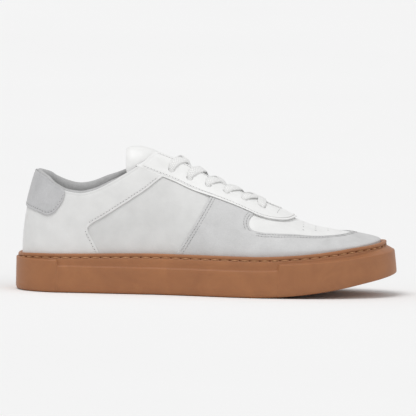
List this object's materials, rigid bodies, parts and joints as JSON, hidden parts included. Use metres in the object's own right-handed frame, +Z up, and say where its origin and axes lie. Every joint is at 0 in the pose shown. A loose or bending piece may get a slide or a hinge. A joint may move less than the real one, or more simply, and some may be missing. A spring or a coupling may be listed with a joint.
{
  "type": "court shoe",
  "caption": "Low-top leather court shoe for the right foot: stitched rubber cup sole, suede toe and heel overlays, laced throat and a hinging padded tongue.",
  "frame": {"origin": "on the ground, at the middle of the shoe's bounding box seen from above", "axes": "+X from heel to toe, +Z up, the outer (lateral) side of the foot at -Y"},
  "size_m": [0.3, 0.1078, 0.1095],
  "materials": {
    "white_leather": "smooth coated leather, off-white",
    "grey_suede": "light grey suede",
    "heel_suede": "mid grey suede",
    "gum_rubber": "satin gum rubber",
    "sole_thread": "tan waxed thread",
    "eva_foam": "closed-cell foam",
    "fibre_board": "cellulose insole board",
    "footbed_textile": "light grey textile on foam",
    "lining_textile": "light grey woven lining",
    "pu_foam": "open-cell padding foam",
    "stiffener": "thermoplastic stiffener sheet",
    "backer_tape": "woven reinforcing tape",
    "lace_cotton": "flat woven lace",
    "lace_tip_film": "clear wrapped tip"
  },
  "bodies": {
    "shoe": {"cupsole": "gum_rubber", "midsole_filler": "eva_foam", "lasting_board": "fibre_board", "sockliner": "footbed_textile", "sole_stitching": "sole_thread", "vamp": "white_leather", "lateral_quarter": "white_leather", "medial_quarter": "white_leather", "forefoot_overlay": "grey_suede", "lateral_heel_panel": "white_leather", "medial_heel_panel": "white_leather", "heel_tab": "heel_suede", "eyestay": "white_leather", "toe_puff": "stiffener", "heel_counter": "stiffener", "lateral_eyelet_backer": "backer_tape", "medial_eyelet_backer": "backer_tape", "vamp_lining": "lining_textile", "lateral_quarter_lining": "lining_textile", "medial_quarter_lining": "lining_textile", "collar_foam": "pu_foam", "collar_lining": "lining_textile", "lace": "lace_cotton", "lateral_lace_tip": "lace_tip_film", "medial_lace_tip": "lace_tip_film"},
    "tongue": {"tongue_face": "white_leather", "tongue_foam": "pu_foam", "tongue_lining": "lining_textile"}
  },
  "joints": [
    {"name": "tongue_hinge", "type": "hinge", "parent": "shoe", "child": "tongue", "pos_m": [0.058, 0.0045, 0.055], "axis": [0, 1, 0], "range_deg": [-8, 0], "stiffness_Nm_per_rad": 0.3, "springref_deg": 1.15}
  ]
}
